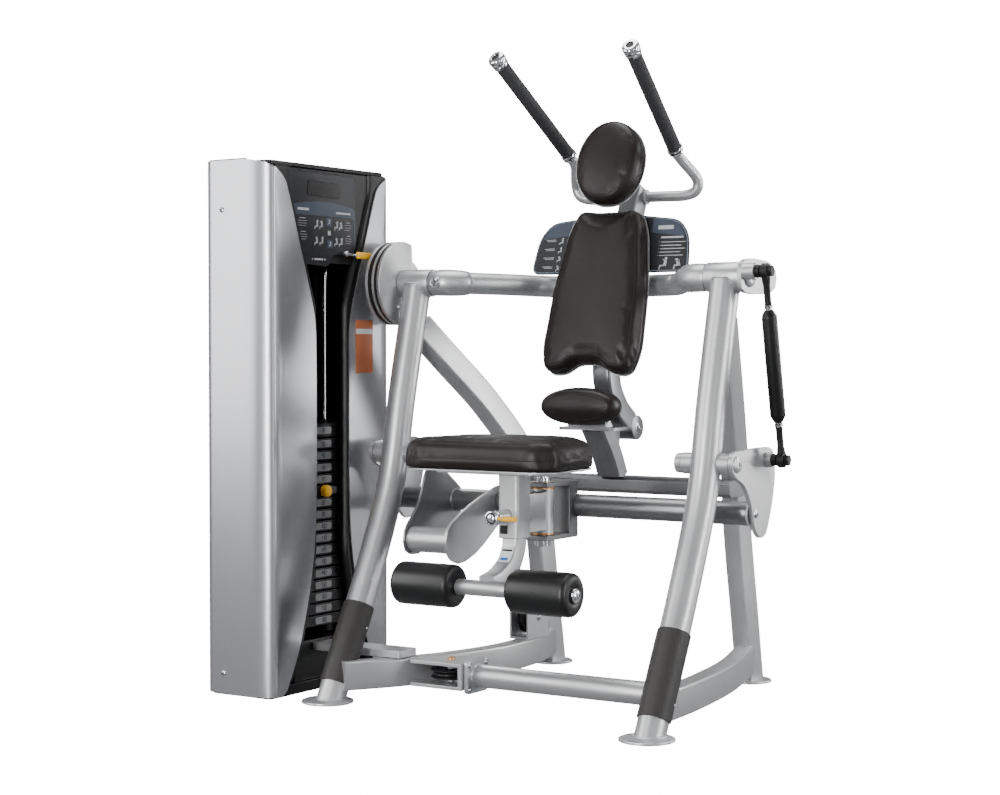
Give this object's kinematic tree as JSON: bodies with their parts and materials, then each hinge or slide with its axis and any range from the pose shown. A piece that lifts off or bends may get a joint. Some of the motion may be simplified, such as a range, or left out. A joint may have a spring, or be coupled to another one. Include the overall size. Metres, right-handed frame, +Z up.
{
  "type": "ab crunch machine",
  "caption": "Weight-stack ab crunch machine: a torso arm with overhead grips swings on side pivots, linked to a rocking seat with foot rollers.",
  "frame": {"origin": "middle of the bounding box on the floor", "axes": "+Z up; the seated user faces -Y; +X towards the connecting-rod side, -X towards the weight tower"},
  "size_m": [1.438, 1.015, 1.7121],
  "materials": {
    "silver": "satin metallic silver powder coat",
    "grey": "darker metallic grey coat",
    "shroud": "gloss metallic silver sheet",
    "vinyl": "very dark brown-black fine-grain upholstery vinyl",
    "foam": "matte black moulded foam rubber",
    "rubber": "black rubber",
    "plastic": "black textured plastic",
    "guard": "charcoal moulded plastic",
    "chrome": "polished chrome",
    "iron": "black painted cast iron",
    "yellow": "glossy yellow",
    "label": "dark blue-grey printed plate"
  },
  "bodies": {
    "frame": {"left_leg": "silver", "right_leg": "silver", "left_rear_leg": "silver", "right_rear_leg": "silver", "left_rail": "silver", "right_rail": "silver", "left_shin_guard": "guard", "right_shin_guard": "guard", "rear_cross_beam": "grey", "front_cross_tube": "silver", "lumbar_post": "grey", "lumbar_pad": "vinyl", "base_pulley_bracket": "silver", "rear_pulley_guard": "silver", "tower_base": "plastic", "tower_back_cover": "plastic", "front_shroud": "shroud", "rear_shroud": "shroud", "tower_head": "plastic", "tower_placard": "label", "front_guide_rod": "chrome", "rear_guide_rod": "chrome", "tower_link": "silver", "lift_cable": "rubber", "fixed_plates": "iron"},
    "base_pulley": {"base_pulley": "rubber"},
    "rear_pulley": {"rear_pulley": "rubber"},
    "top_pulley": {"top_pulley": "rubber"},
    "lifted_stack": {"top_plate": "iron", "lifted_plates": "iron", "selector_stem": "chrome"},
    "selector_pin": {"selector_pin": "yellow"},
    "add_on_lever": {"add_on_lever": "yellow"},
    "torso_arm": {"left_swing_arm": "silver", "right_swing_arm": "silver", "arm_mast": "grey", "handle_bar": "silver", "left_grip": "foam", "right_grip": "foam", "back_pad": "vinyl", "head_pad": "vinyl", "arm_placard": "label", "cam_wheel": "silver", "upper_crank": "silver"},
    "connecting_rod": {"connecting_rod": "plastic"},
    "carriage": {"carriage_tube": "grey", "left_lower_crank": "silver", "right_lower_crank": "silver", "hanger_plate": "grey", "counterweight": "silver", "swivel_yoke": "grey", "swivel_pin": "chrome"},
    "seat": {"seat_post": "silver", "seat_pad": "vinyl", "foot_arm": "silver", "roller_axle": "chrome"},
    "left_roller": {"left_roller": "foam"},
    "right_roller": {"right_roller": "foam"},
    "pull_pin": {"pull_pin": "chrome"}
  },
  "joints": [
    {"name": "arm_swing", "type": "hinge", "parent": "frame", "child": "torso_arm", "pos_m": [0.109, -0.0175, 1.1], "axis": [1, 0, 0], "range_deg": [0, 50]},
    {"name": "carriage_swing", "type": "hinge", "parent": "frame", "child": "carriage", "pos_m": [0.109, -0.1195, 0.636], "axis": [1, 0, 0], "range_deg": [-10, 0]},
    {"name": "rod_swing", "type": "hinge", "parent": "torso_arm", "child": "connecting_rod", "pos_m": [0.699, -0.0475, 1.112], "axis": [1, 0, 0], "range_deg": [-60, 0]},
    {"name": "stack_lift", "type": "slide", "parent": "frame", "child": "lifted_stack", "axis": [0, 0, 1], "range_m": [0, 0.12], "deforming": ["lift_cable"]},
    {"name": "pin_pull", "type": "slide", "parent": "lifted_stack", "child": "selector_pin", "axis": [1, 0, 0], "range_m": [0, 0.06]},
    {"name": "lever_flip", "type": "hinge", "parent": "frame", "child": "add_on_lever", "pos_m": [-0.487, -0.1825, 1.178], "axis": [1, 0, 0], "range_deg": [0, 50]},
    {"name": "top_pulley_spin", "type": "hinge", "parent": "frame", "child": "top_pulley", "pos_m": [-0.6465, -0.2375, 1.345], "axis": [0, 1, 0], "range_deg": [-10, 160]},
    {"name": "base_pulley_spin", "type": "hinge", "parent": "frame", "child": "base_pulley", "pos_m": [-0.119, -0.2175, 0.069], "axis": [0, 0, 1], "range_deg": [-10, 160]},
    {"name": "rear_pulley_spin", "type": "hinge", "parent": "frame", "child": "rear_pulley", "pos_m": [-0.15, 0.2225, 0.165], "axis": [1, 0, 0], "range_deg": [-10, 180]},
    {"name": "seat_swivel", "type": "hinge", "parent": "carriage", "child": "seat", "pos_m": [0.109, -0.1325, 0.5], "axis": [0, 0, 1], "range_deg": [-20, 20]},
    {"name": "pull_pin_slide", "type": "slide", "parent": "seat", "child": "pull_pin", "axis": [0, -1, 0], "range_m": [0, 0.01], "stiffness_N_per_m": 400},
    {"name": "left_roller_spin", "type": "hinge", "parent": "seat", "child": "left_roller", "pos_m": [-0.061, -0.4075, 0.325], "axis": [1, 0, 0], "continuous": true},
    {"name": "right_roller_spin", "type": "hinge", "parent": "seat", "child": "right_roller", "pos_m": [0.279, -0.4075, 0.325], "axis": [1, 0, 0], "continuous": true}
  ],
  "couplings": [
    {"joint": "carriage_swing", "follows": "arm_swing", "ratio": -0.184},
    {"joint": "rod_swing", "follows": "arm_swing", "ratio": -1.002},
    {"joint": "stack_lift", "follows": "arm_swing", "m_per_rad": 0.11},
    {"joint": "top_pulley_spin", "follows": "arm_swing", "ratio": 2.3913},
    {"joint": "base_pulley_spin", "follows": "arm_swing", "ratio": 2.2449},
    {"joint": "rear_pulley_spin", "follows": "arm_swing", "ratio": 2.619}
  ]
}
